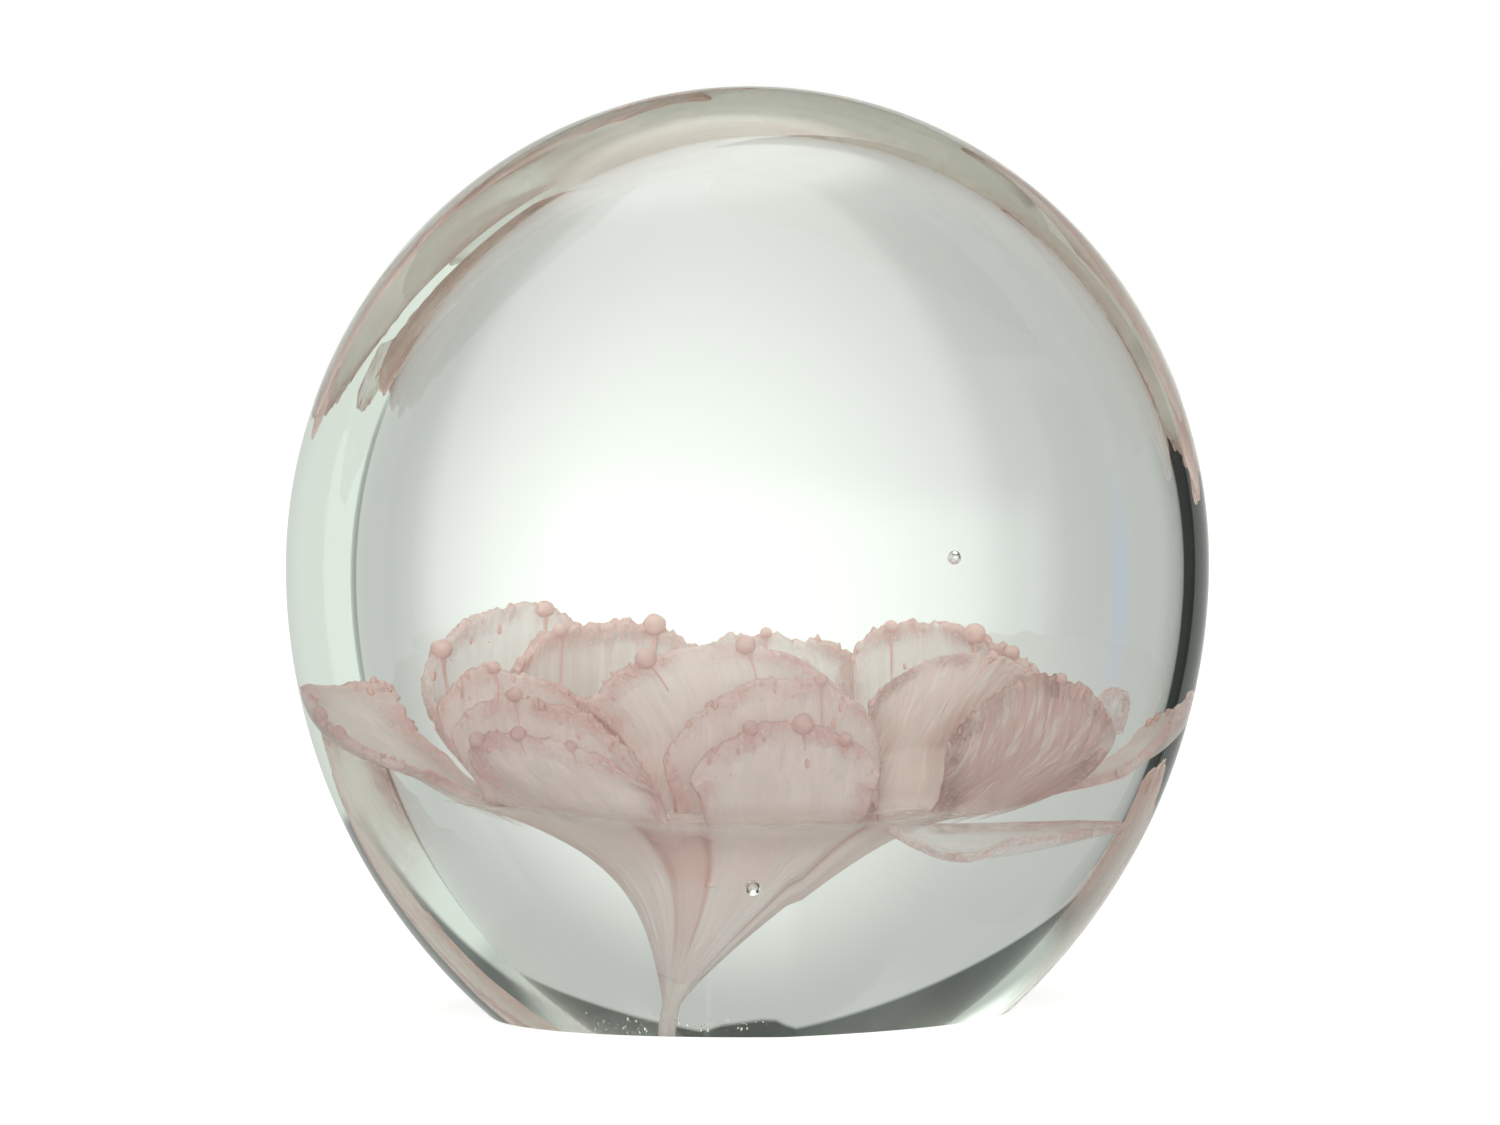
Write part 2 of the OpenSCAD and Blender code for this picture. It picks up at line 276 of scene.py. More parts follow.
def stem_mesh():
    points, levels, tops = 64, 16, 12
    a = np.linspace(0, 2 * math.pi, points, endpoint=False)
    rows = []
    for i in range(levels):
        z = NECK_Z * i / levels
        x, y = axis_at(z)
        rows.append(np.stack([x + 0 * a, y + 0 * a, z + 0 * a], axis=-1) * GROW
                    + np.stack([STEM_R * np.cos(a), STEM_R * np.sin(a), 0 * a], axis=-1))
    rows += [flare(STEM_TOP * 1.3 * i / tops, a) for i in range(tops + 1)]
    return capped(grid_mesh("stem", rows, lambda i, j: (j / points, i / len(rows) * 0.2)))


def trumpet_mesh():
    points, rings = 480, 96
    start = STEM_TOP + 0.01
    a = np.linspace(0, 2 * math.pi, points, endpoint=False)
    out = np.stack([np.cos(a), np.sin(a), 0 * a], axis=-1)

    def wall(s):
        """Upright thickness: the lip is thinner than the rest."""
        return TRUMPET_T * (1 - LIP_THINNER * smooth((s - 0.8) * 5))

    def ring(s, up=0.0):
        lines = np.array([flow_lines(s, turn) for turn in a])
        return flare(s, a, up) + out * lines[:, None]

    rising = [start + (1 - start) * i / rings for i in range(rings + 1)]
    falling = [1 - (1 - THROAT_S) * i / rings for i in range(rings + 1)]
    rows = [ring(s) for s in rising] + [ring(1.004, wall(1) / 2)] + [ring(s, wall(s)) for s in falling]
    levels = rising + [1] + falling
    return capped(grid_mesh("trumpet", rows, lambda i, j: (j / points, levels[i])))


# ---- petals: [left root, right root, left rim, crown, right rim], as seen from outside the
# flower, then the bow of the root, the bowl of the profile and the belly of the sheet
PETALS = {
    "left_side_petal": [(-26, 4.4, 1.5), (-31, -5.4, 1.3), (-32.5, 8, 10.3),
        (-42.3, 3, 8.3), (-36.4, -7.4, 2.1), 0.5, 0.4, 0.5],
    "right_side_petal": [(24.6, -5, -0.9), (24.2, 4.8, -0.6), (36.5, -5, 1.3),
        (42, 1.5, 8.3), (36, 7.6, 5.3), 1, 0.6, 0.5],
    "right_lower_petal": [(10.5, -14.4, -4.4), (16, -6, -4.5), (24, -15, -6),
        (35.5, -9.4, -5.4), (31, -2, -4.3), 0.5, 0, 0.3],
    "right_curl_petal": [(32.4, -6.6, 4.6), (35, -3.6, 4.8), (32.6, -7, 7.8),
        (34.2, -5.6, 9.4), (35.9, -3.6, 7.9), 0.2, 0, 0.2],
    "back_left_petal": [(-13.6, 10.6, 0.2), (-22.2, 7, 0.9), (-14, 14, 13.8),
        (-22.5, 12.5, 17.5), (-30, 7, 10.3), 0.8, 0.7, 1],
    "back_inner_left_petal": [(-5.8, 6.5, -2.7), (-18.5, 2.8, -1.5), (-6, 10.6, 12.8),
        (-14, 9.6, 16.5), (-22.6, 6, 11.7), 0.8, 0.8, 1],
    "back_centre_petal": [(8.5, 8.5, -0.9), (-4.6, 9, -1.3), (10.2, 13.4, 12.3),
        (2, 15, 14.3), (-7, 13.4, 12.7), 0.8, 0.7, 1],
    "back_right_petal": [(20.6, 4.2, -0.8), (10.2, 6.6, -1.3), (27.5, 6.5, 9.8),
        (18, 11, 15.8), (9.8, 10.4, 12.1), 0.8, 0.8, 1],
    "middle_left_petal": [(-26.8, -2.8, 0.6), (-12.4, -3.6, -1.7), (-31.2, -1.6, 7.9),
        (-23.5, -2, 11.7), (-13, -3.4, 2.9), 0.6, 0.5, 1],
    "middle_centre_petal": [(-11.4, -7.4, -1.9), (7.2, -6.6, -2.3), (-18.2, -5.8, 7.7),
        (-5.5, -6.4, 14.3), (7.4, -5.6, 7.9), 1, -0.4, 1.2],
    "middle_right_petal": [(9, -5.6, -1.8), (18, -4.4, -1.3), (10, -3.2, 7.7),
        (19.5, -2.6, 12.9), (27, -2.2, 8.7), 0.8, -0.3, 1],
    "front_left_outer_petal": [(-28.4, -7.8, 0.7), (-12, -11.4, -1.1), (-31.8, -9, 5.5),
        (-23, -10.8, 8.9), (-12.6, -11.8, 0.3), 0.6, 0.5, 0.8],
    "front_left_inner_petal": [(-28.2, -12, 0.7), (-12.2, -16.8, -0.8), (-31, -13.6, 2.7),
        (-25, -16, 5.7), (-13, -17.6, -0.5), 0.8, 0.5, 0.8],
    "front_centre_outer_petal": [(-10.2, -12.2, -1.3), (10, -11.2, -1.7), (-11.6, -12.4, 2.7),
        (-0.5, -13.8, 11.1), (9.8, -11.8, 4.3), 0.8, 0.4, 1],
    "front_centre_inner_petal": [(-8.4, -17.4, -0.9), (8.6, -16.2, -1.1), (-9.9, -18, 0.7),
        (-0.5, -18.6, 6.7), (9.6, -16.6, 1.3), 0.9, 0.3, 0.7],
    "front_right_petal": [(16, -12.4, -1.4), (26.6, -7, -1.3), (16.6, -13.4, 2.9),
        (26, -12.8, 10.7), (34.6, -7.8, 4.3), 0.8, 0.6, 1.2],
}
PETAL_NAMES = list(PETALS)
RIBBED = {"middle_right_petal": 0.4, "front_right_petal": 1.0}
CROWN_POWER = 0.65       # under 1: a petal's rim is a dome with steep sides
INSIDE = 0.75            # where the direction of the sheet's thickness is taken
# Petals that grow out of the trumpet's outside: the share of its flare where they leave it, the
# share of their height where their own sheet begins, and the angles between which they leave it
# (None: straight under their roots). The others stand inside the trumpet.
WRAPPED = {"front_left_inner_petal": (0.8, 0.34, None), "front_centre_inner_petal": (0.78, 0.32, None),
           "front_right_petal": (0.82, 0.25, None), "left_side_petal": (0.66, 0.3, None),
           "right_side_petal": (0.66, 0.3, None), "middle_centre_petal": (0.62, 0.4, (-119, -100)),
           "middle_right_petal": (0.8, 0.3, (-64, -34))}
SHEETS = {}              # name: points of the middle sheet, way to the surface, distance to an edge
SAG = 2.4                # how far the front edge of the lower right petal hangs
LOOSE = ("right_curl_petal", "right_lower_petal")   # these lie beyond the trumpet's rim
DROP_TO = 0.3            # share of the height up to which the other petals reach down to the wall
# waves of the rim: [depth, length]
SCALLOPS = [(0.45, 2.9), (0.3, 1.2), (0.26, 0.5)]
ACROSS, ALONG = 144, 64  # steps of a petal's mesh across it and up it
EDGE_SCALE = 20.0        # length that the edge map shows as 1
# How milky a petal's glass is, from 0 to 1. The rest take OPAQUE.
OPAQUE = 0.88
OPACITY = {"back_left_petal": 0.42, "back_inner_left_petal": 0.72, "back_centre_petal": 0.52,
           "back_right_petal": 0.6, "right_lower_petal": 0.3, "right_curl_petal": 0.3,
           "left_side_petal": 0.75, "right_side_petal": 0.7}
# shares of the height between which a petal turns from clear to milky
FADE = {name: (0.0, 0.2) for name in WRAPPED}
FADE["back_centre_petal"] = (0.5, 0.85)


def seed_of(name):
    return 3.7 * PETAL_NAMES.index(name)


def petal_outward(petal):
    left_root, right_root = petal[:2]
    outward = np.array([right_root[1] - left_root[1], left_root[0] - right_root[0], 0.0])
    return outward / np.linalg.norm(outward)


def petal_sheet(petal, u, v):
    """Points of a petal's middle sheet for arrays of u (-1 to 1 across) and v (root to rim)."""
    left_root, right_root, left_rim, crown, right_rim = (np.array(p, float) for p in petal[:5])
    bow, bowl, belly = petal[5:]
    outward = petal_outward(petal)
    t = ((u + 1) / 2)[..., None]
    middle = np.clip(1 - u * u, 0, None)[..., None]
    v = v[..., None]
    root = left_root + (right_root - left_root) * t + outward * bow * middle
    rim = (left_rim + (right_rim - left_rim) * t
           + (crown - (left_rim + right_rim) / 2) * middle**CROWN_POWER)
    level, climb = v + bowl * v * (1 - v), v - bowl * v * (1 - v)
    points = root + (rim - root) * np.concatenate([level, level, climb], axis=-1)
    points = points + outward * belly * np.sin(math.pi * v) * middle
    points[..., 2] += RIM_Z
    points = points * GROW
    points[..., 2] += SEAT_Z
    return points


def grown_sheet(name, u, v):
    """The sheet with its root on the trumpet, inside it or wrapped over its lip."""
    petal = PETALS[name]
    points = petal_sheet(petal, u, v)
    s, a = flare_place(petal_sheet(petal, u, 0 * v))
    if name == "right_lower_petal":
        points[..., 2] -= SAG * np.sin(math.pi * np.clip(v, 0, 1)) * (1 - u) / 2
    if name in LOOSE:
        return points
    if name not in WRAPPED:
        floor = flare(s, a)[..., 2] + TRUMPET_T * 0.4
        drop = np.clip(petal_sheet(petal, u, 0 * v)[..., 2] - floor, 0, None)
        points[..., 2] -= drop * np.clip(1 - v / DROP_TO, 0, 1) ** 2
        return points
    leave, begin, between = WRAPPED[name]
    if between:
        a = np.radians(between[0] + (between[1] - between[0]) * (u + 1) / 2)
    leave = leave + 0.05 * np.sin(2.9 * u + leave * 40) + 0.02 * np.sin(8 * u + leave * 90)
    wall = flare(leave, a, -0.1)
    lead = (flare(leave + 0.05, a, -0.1) - wall) * ((1 - leave) / 0.05 * 1.6)[..., None]
    joint = petal_sheet(petal, u, 0 * v + begin)
    climb = (petal_sheet(petal, u, 0 * v + begin + 0.02) - joint) / 0.02 * begin
    t = np.clip(v / begin, 0, 1)[..., None]
    bridge = ((2 * t**3 - 3 * t**2 + 1) * wall + (t**3 - 2 * t**2 + t) * lead
              + (3 * t**2 - 2 * t**3) * joint + (t**3 - t**2) * climb)
    return np.where((v < begin)[..., None], bridge, points)


def sheet_normals(name, u, v):
    step = 0.03
    across = grown_sheet(name, u + step, v) - grown_sheet(name, u - step, v)
    along = grown_sheet(name, u, v + step) - grown_sheet(name, u, np.clip(v - step, 0, 1))
    normals = np.cross(across, along)
    return normals / np.linalg.norm(normals, axis=-1, keepdims=True)


def petal_relief(seed, x, y, v, edge, ribs):
    """How far the sheet stands out at a place: soft folds, flutes, ribs and grains of frit.

    x and y run across the petal and up it, in millimetres."""
    rise = smooth(v * 2)
    fold = 0.42 * ripple(x / 3.2, y / 9, seed) * rise + 0.18 * ripple(x / 1.1, y / 7, seed + 5) * rise
    flute = (0.06 + 0.2 * ribs) * ripple(x / 0.42, y / 8, seed + 9) * smooth(v * 1.4)
    patch = smooth((ripple(x / 4, y / 4, seed + 2) + 0.3) * 2.2)
    grain = (0.25 + 0.75 * patch) * math.exp(-edge / 1.5) * (
        0.36 * ripple(x / 0.6, y / 0.9, seed + 3) + 0.26 * ripple(x / 0.32, y / 0.5, seed + 4))
    return fold + flute + grain


def petal_mesh(name, seed):
    """Closed sheet with a rounded, slightly rolled rim. Its middle sheet is kept in SHEETS."""
    across, along = ACROSS, ALONG
    half = PETAL_T / 2
    ribs = RIBBED.get(name, 0.0)
    # points crowd towards the free edges so that these come out round
    us = np.sin(math.pi / 2 * np.linspace(-1, 1, across + 1))
    vs = np.sin(math.pi / 2 * np.linspace(0, 1, along + 1))
    u, v = np.meshgrid(us, vs, indexing="ij")
    plain = petal_sheet(PETALS[name], us, 1 + 0 * us)
    walk = np.concatenate([[0], np.cumsum(np.linalg.norm(np.diff(plain, axis=0), axis=-1))])
    height = np.linalg.norm(plain[across // 2] - petal_sheet(PETALS[name], us[:1] * 0, us[:1] * 0)[0])
    scallops = np.array([sum(depth * ripple(w / length, seed + k)
                             for k, (depth, length) in enumerate(SCALLOPS)) for w in walk]) / height
    points = grown_sheet(name, u, v * (1 + scallops[:, None] * v))
    normals = sheet_normals(name, INSIDE * u, v)
    to_side = np.minimum(np.linalg.norm(points - points[:1], axis=-1),
                         np.linalg.norm(points - points[-1:], axis=-1))
    to_rim = np.linalg.norm(points - points[:, -1:], axis=-1)
    edge = np.minimum(to_side, to_rim)
    half_width = np.linalg.norm(plain[-1] - plain[0]) / 2
    relief = np.array([[petal_relief(seed, us[i] * half_width, vs[j] * height, vs[j], edge[i, j], ribs)
                        for j in range(along + 1)] for i in range(across + 1)])
    points = points + petal_outward(PETALS[name]) * relief[..., None]
    round_off = np.sqrt(np.clip(1 - (1 - np.clip(edge / half, 0, 1)) ** 2, 0, 1))
    roll = 0.3 * np.exp(-(((edge - 0.5) / 0.4) ** 2))
    offset = normals * (half * (0.03 + 0.9 * round_off + roll))[..., None]
    SHEETS[name] = points, offset, edge
    front, back = points + offset, points - offset
    rows = [np.concatenate([front[i], back[i][::-1]]) for i in range(across + 1)]
    count = len(rows[0])

    def level(j):
        j = j % count
        return j if j <= along else 2 * along + 1 - j

    mesh = grid_mesh(name, rows, lambda i, j: (us[i] / 2 + 0.5, vs[level(j)]))
    layer = mesh.uv_layers.new(name="edge")
    corners = [(i + a, level(j + b)) for i in range(across) for j in range(count)
               for a, b in ((0, 0), (0, 1), (1, 1), (1, 0))]
    for loop, place in zip(layer.data, corners):
        loop.uv = (edge[place] / EDGE_SCALE, 0)
    mesh.uv_layers.active_index = 0
    return capped(mesh)


# ---- beads: [petal, place across it from -1 to 1, size against a middling bead]
BEAD_D = 1.7
BEADS = {
    "back_beads": [("back_left_petal", -0.5, 0.95), ("back_left_petal", 0.75, 1.1),
        ("back_inner_left_petal", -0.6, 1.25), ("back_inner_left_petal", 0.5, 0.8),
        ("back_centre_petal", 0, 0.7), ("back_right_petal", -0.4, 1.2),
        ("back_right_petal", 0.5, 0.8), ("back_right_petal", -0.75, 0.9)],
    "middle_beads": [("middle_left_petal", -0.3, 0.8), ("middle_centre_petal", -0.55, 1.25),
        ("middle_centre_petal", 0.2, 1.2), ("middle_right_petal", 0.35, 0.7)],
    "front_beads": [("front_left_outer_petal", -0.3, 0.9), ("front_left_inner_petal", -0.75, 1),
        ("front_left_inner_petal", -0.2, 0.95), ("front_left_inner_petal", 0.35, 0.8),
        ("front_centre_outer_petal", 0.4, 0.8), ("front_centre_inner_petal", -0.35, 1),
        ("front_centre_inner_petal", 0.2, 1.3), ("front_centre_inner_petal", 0.65, 0.85),
        ("front_right_petal", -0.2, 0.75), ("front_right_petal", 0.3, 0.75)],
    "side_beads": [("left_side_petal", 0.3, 1.05), ("left_side_petal", 0.6, 0.9),
        ("right_side_petal", 0, 0.8)],
}
TAIL_STEPS = 12          # rings of a bead's tail, each of TAIL_POINTS
TAIL_POINTS = 10
CRUST = 2.4              # grains of frit for each millimetre of a petal's rim


def towards_viewer(petal, way):
    """1 where a way along the sheet's thickness leads to the side that shows, else -1."""
    face = petal_outward(petal) * (-1 if petal[0][0] > petal[1][0] else 1)
    return 1 if np.dot(way, face) > 0 else -1


def column_of(u):
    """Column of a petal's mesh at a place across it."""
    return round((math.asin(u) * 2 / math.pi + 1) / 2 * ACROSS)


def add_bead(work, name, u, share):
    """A round bead on the rim, with the tail it was pulled from running down the sheet."""
    size = BEAD_D * share
    points, ways, _ = SHEETS[name]
    i = column_of(u)
    spine = [Vector(points[i, ALONG - 3 * k]) for k in range(TAIL_STEPS)]
    out = (spine[0] - spine[4]).normalized()
    face = Vector(ways[i, ALONG - 9] * towards_viewer(PETALS[name], ways[i, ALONG - 9])).normalized()
    made = bmesh.ops.create_icosphere(work, subdivisions=4, radius=size / 2 * MM)
    for vert in made["verts"]:
        local = vert.co / MM
        local *= 1 + 0.09 * ripple(*(local * 1.3 + Vector((u * 9, share * 7, 0))))
        vert.co = (spine[0] - out * size * 0.1 + face * size * 0.22 + local) * MM
    across = out.cross(face).normalized()
    turns = [2 * math.pi * j / TAIL_POINTS for j in range(TAIL_POINTS)]
    rings = []
    for k, point in enumerate(spine):
        reach = size * (0.20 * (1 - k / (TAIL_STEPS - 1)) ** 1.3 + 0.03)
        middle = point + face * (PETAL_T / 2 + 0.05)
        rings.append([work.verts.new((middle + across * math.cos(t) * reach
                                      + face * math.sin(t) * reach * 0.6) * MM) for t in turns])
    for lower, upper in zip(rings, rings[1:]):
        for j in range(len(turns)):
            k = (j + 1) % len(turns)
            work.faces.new([lower[j], lower[k], upper[k], upper[j]])
    work.faces.new(rings[0])
    work.faces.new(rings[-1][::-1])


def add_crust(work, name):
    """Grains of frit that sit on both sides of the sheet, close to its free edges, in patches."""
    rng = np.random.default_rng(7 + PETAL_NAMES.index(name))
    points, ways, edge = SHEETS[name]
    rim = np.linalg.norm(np.diff(points[:, -1], axis=0), axis=-1).sum()
    for _ in range(round(CRUST * rim * OPACITY.get(name, 1))):
        i = int(rng.integers(6, ACROSS - 6))
        depth, size = rng.exponential(0.7), 0.08 + 0.2 * rng.random() ** 2
        side = 1 if rng.random() < 0.75 else -1
        stretch, chance = 1 + rng.random(), rng.random()
        if chance > 0.2 + 0.8 * smooth((ripple(i * 0.045, seed_of(name)) + 0.2) * 2.4):
            continue
        j = int(np.nonzero(edge[i] >= min(depth, edge[i].max()))[0][-1])
        side *= towards_viewer(PETALS[name], ways[i, max(j - 6, 0)])
        place = Vector(points[i, j] + ways[i, j] * side)
        up = Vector(points[i, j] - points[i, j - 1]).normalized()
        made = bmesh.ops.create_icosphere(work, subdivisions=2, radius=size * MM)
        for vert in made["verts"]:
            along = vert.co.dot(up)
            vert.co = vert.co + up * along * stretch * 0.7 + place * MM


def bead_mesh(name, beads):
    """The beads of a row of petals and the frit on those petals."""
    work = bmesh.new()
    for petal_name, u, share in beads:
        add_bead(work, petal_name, u, share)
    for petal_name in PETALS:
        if name.split("_")[0] in petal_name.split("_"):
            add_crust(work, petal_name)
    bmesh.ops.recalc_face_normals(work, faces=work.faces)
    mesh = bpy.data.meshes.new(name)
    work.to_mesh(mesh)
    work.free()
    return mesh


# ---------------------------------------------------------------- node helpers
class Graph:
    """Writes a node tree as sums: every value is a socket or a number."""

    def __init__(self, tree):
        self.tree = tree
        tree.nodes.clear()

    def node(self, kind, **inputs):
        made = self.tree.nodes.new(kind)
        for name, value in inputs.items():
            self.put(made.inputs[name.replace("_", " ")], value)
        return made

    def put(self, socket, value):
        if isinstance(value, bpy.types.NodeSocket):
            self.tree.links.new(value, socket)
        else:
            socket.default_value = value

    def math(self, operation, *values):
        made = self.tree.nodes.new("ShaderNodeMath")
        made.operation = operation
        for socket, value in zip(made.inputs, values):
            self.put(socket, value)
        return made.outputs[0]

    def add(self, *values):
        total = values[0]
        for value in values[1:]:
            total = self.math("ADD", total, value)
        return total

    def times(self, *values):
        total = values[0]
        for value in values[1:]:
            total = self.math("MULTIPLY", total, value)
        return total

    def step(self, value, low, high):
        """0 below low, 1 above high, smooth between them. high may be under low."""
        made = self.tree.nodes.new("ShaderNodeMapRange")
        made.interpolation_type = "SMOOTHSTEP"
        turned = high < low
        self.put(made.inputs["Value"], value)
        made.inputs["From Min"].default_value = min(low, high)
        made.inputs["From Max"].default_value = max(low, high)
        made.inputs["To Min"].default_value = 1.0 if turned else 0.0
        made.inputs["To Max"].default_value = 0.0 if turned else 1.0
        return made.outputs[0]

    def hill(self, value, middle, width):
        """1 at the middle, falling off as a bell of that half width."""
        away = self.math("DIVIDE", self.math("SUBTRACT", value, middle), width)
        return self.math("EXPONENT", self.times(away, away, -1.0))

    def mix(self, share, one, other):
        made = self.tree.nodes.new("ShaderNodeMix")
        made.data_type = "RGBA"
        self.put(made.inputs["Factor"], share)
        self.put(made.inputs[6], one)
        self.put(made.inputs[7], other)
        return made.outputs[2]

    def noise(self, vector, scale, detail=2.0, rough=0.5):
        made = self.node("ShaderNodeTexNoise", Vector=vector, Scale=scale, Detail=detail, Roughness=rough)
        return made.outputs["Fac"]

    def vector(self, x, y, z=0.0):
        return self.node("ShaderNodeCombineXYZ", X=x, Y=y, Z=z).outputs[0]

    def uv(self, layer):
        made = self.tree.nodes.new("ShaderNodeUVMap")
        made.uv_map = layer
        split = self.node("ShaderNodeSeparateXYZ", Vector=made.outputs[0])
        return split.outputs[0], split.outputs[1]

    def bump(self, height, strength, distance):
        made = self.node("ShaderNodeBump", Height=height)
        made.inputs["Strength"].default_value = strength
        made.inputs["Distance"].default_value = distance
        return made.outputs[0]

    def shader_mix(self, share, one, other):
        made = self.tree.nodes.new("ShaderNodeMixShader")
        self.put(made.inputs[0], share)
        self.put(made.inputs[1], one)
        self.put(made.inputs[2], other)
        return made.outputs[0]

    def output(self, surface, volume=None):
        made = self.tree.nodes.new("ShaderNodeOutputMaterial")
        self.put(made.inputs["Surface"], surface)
        if volume is not None:
            self.put(made.inputs["Volume"], volume)


def new_material(name):
    material = bpy.data.materials.new(name)
    material.use_nodes = True
    return material, Graph(material.node_tree)


# ---------------------------------------------------------------- materials
PALE = (0.95, 0.885, 0.865, 1)
PINK = (0.91, 0.72, 0.70, 1)
FRIT = (0.90, 0.63, 0.61, 1)
RIB = (0.70, 0.48, 0.44, 1)
RIB_BODY = (0.85, 0.64, 0.60, 1)
LINE = (0.74, 0.50, 0.46, 1)
BEAD = (0.92, 0.74, 0.71, 1)
BEAD_DEEP = (0.89, 0.69, 0.66, 1)
WHITE_RIB = (0.97, 0.92, 0.89, 1)
# painted highlight: colour of the pale specks that stand in for glints on the frit
PAINTED_GLINT = (0.98, 0.92, 0.90, 1)
THREAD = (0.97, 0.93, 0.91, 1)
RIDGE_PINK = (0.86, 0.62, 0.58, 1)
CREASE_PINK = (0.70, 0.46, 0.42, 1)
NECK = (0.93, 0.88, 0.86, 1)
# painted light: paler colour of the lip that lifts the shade where the wall turns edge-on
PAINTED_LIGHT_LIP = (0.98, 0.95, 0.93, 1)
STEM = (0.95, 0.91, 0.89, 1)
STEM_STREAK = (0.88, 0.78, 0.75, 1)
GLASS_TINT = (0.86, 1.0, 0.88, 1)
GLASS_DENSITY = 5.5
GLASS_IOR = 1.5


def clear_glass():
    material, g = new_material("clear_glass")
    glass = g.node("ShaderNodeBsdfPrincipled")
    glass.inputs["Base Color"].default_value = (1, 1, 1, 1)
    glass.inputs["Roughness"].default_value = 0.0
    glass.inputs["IOR"].default_value = GLASS_IOR
    glass.inputs["Transmission Weight"].default_value = 1.0
    tint = g.node("ShaderNodeVolumeAbsorption")
    tint.inputs["Color"].default_value = GLASS_TINT
    tint.inputs["Density"].default_value = GLASS_DENSITY
    g.output(glass.outputs[0], tint.outputs[0])
    return material


def milky(g, colour, opacity, normal=None):
    """Milky glass inside clear glass: it scatters light both ways and mirrors nothing."""
    body = g.node("ShaderNodeBsdfPrincipled", Base_Color=colour)
    body.inputs["Roughness"].default_value = 0.6
    body.inputs["Specular IOR Level"].default_value = 0.0
    through = g.node("ShaderNodeBsdfTranslucent", Color=colour)
    if normal is not None:
        g.put(body.inputs["Normal"], normal)
        g.put(through.inputs["Normal"], normal)
    solid = g.shader_mix(0.45, body.outputs[0], through.outputs[0])
    clear = g.node("ShaderNodeBsdfTransparent").outputs[0]
    g.output(g.shader_mix(opacity, clear, solid))


def petal_glass(name, seed, ribs, opacity, fade):
    """fade: shares of the height between which the glass turns from clear to milky, or None."""
    material, g = new_material(name)
    u, v = g.uv("UVMap")
    edge, _ = g.uv("edge")
    edge = g.times(edge, EDGE_SCALE)
    place = g.tree.nodes.new("ShaderNodeTexCoord").outputs["Object"]
    cloud = g.step(g.noise(place, 260.0, 3.0), 0.35, 0.65)
    grain = g.noise(place, 1700.0, 4.0, 0.75)
    # streaks that fan out from the root, and bend towards the right on the ribbed petals
    low = g.math("SUBTRACT", 1.0, v)
    fan = g.add(u, g.times(low, low, 0.45 * ribs))
    broad = g.noise(g.vector(g.times(fan, 7.0), g.times(v, 1.6), seed), 1.0, 3.0)
    fine = g.noise(g.vector(g.times(fan, 48.0), g.times(v, 4.0), seed), 1.0, 3.0, 0.6)
    hair = g.noise(g.vector(g.times(fan, 110.0), g.times(v, 22.0), seed), 1.0, 2.0, 0.6)
    streak = g.step(g.add(g.times(broad, 0.7 - 0.3 * ribs), g.times(fine, 0.3 + 0.3 * ribs)), 0.44, 0.66)
    # frit: deeper pink grains that gather along the free edges in patches, with pale specks on it that
    # are painted highlights, a painted sparkle
    patch = g.step(g.noise(g.vector(g.times(u, 4.5), g.times(v, 2.5), seed), 1.0, 2.0), 0.40, 0.60)
    near = g.math("EXPONENT", g.times(edge, -0.55))
    frit = g.times(g.add(0.2, g.times(patch, 0.8)),
                   g.step(g.add(near, g.times(hair, 0.5), g.times(grain, 0.8)), 0.90, 1.2))
    painted_glint = g.times(frit, g.step(g.noise(place, 2600.0, 2.0), 0.56, 0.66))
    rim = g.times(g.hill(edge, 0.1, 0.2), g.step(grain, 0.36, 0.56))
    colour = g.mix(g.times(cloud, 0.12), PALE, PINK)
    if ribs:
        colour = g.mix(0.75 * ribs, colour, RIB_BODY)
        colour = g.mix(g.times(streak, 0.7 * ribs), colour, RIB)
        pale = g.noise(g.vector(g.times(fan, 24.0), g.times(v, 3.2), seed + 4.0), 1.0, 2.0, 0.6)
        colour = g.mix(g.times(g.step(pale, 0.50, 0.64), 0.7), colour, WHITE_RIB)
    else:
        colour = g.mix(g.times(streak, 0.16), colour, PINK)
    colour = g.mix(g.times(frit, 0.65), colour, RIB if ribs else FRIT)
    # painted highlights: pale specks on the frit
    colour = g.mix(g.times(painted_glint, 0.7), colour, PAINTED_GLINT)
    colour = g.mix(g.times(rim, 0.55), colour, LINE)
    solid = g.math("MINIMUM", 1.0, g.add(opacity, g.times(streak, 0.2 * opacity), g.times(frit, 0.3),
                                         g.times(rim, 0.4)))
    if fade:
        solid = g.times(solid, g.step(v, *fade))
    height = g.add(g.times(fine, 0.3 + 0.5 * ribs), g.times(hair, 0.2),
                   g.times(grain, g.add(0.1, g.times(frit, 1.4))))
    milky(g, colour, solid, g.bump(height, 0.45 + 0.3 * ribs, 0.0004))
    return material


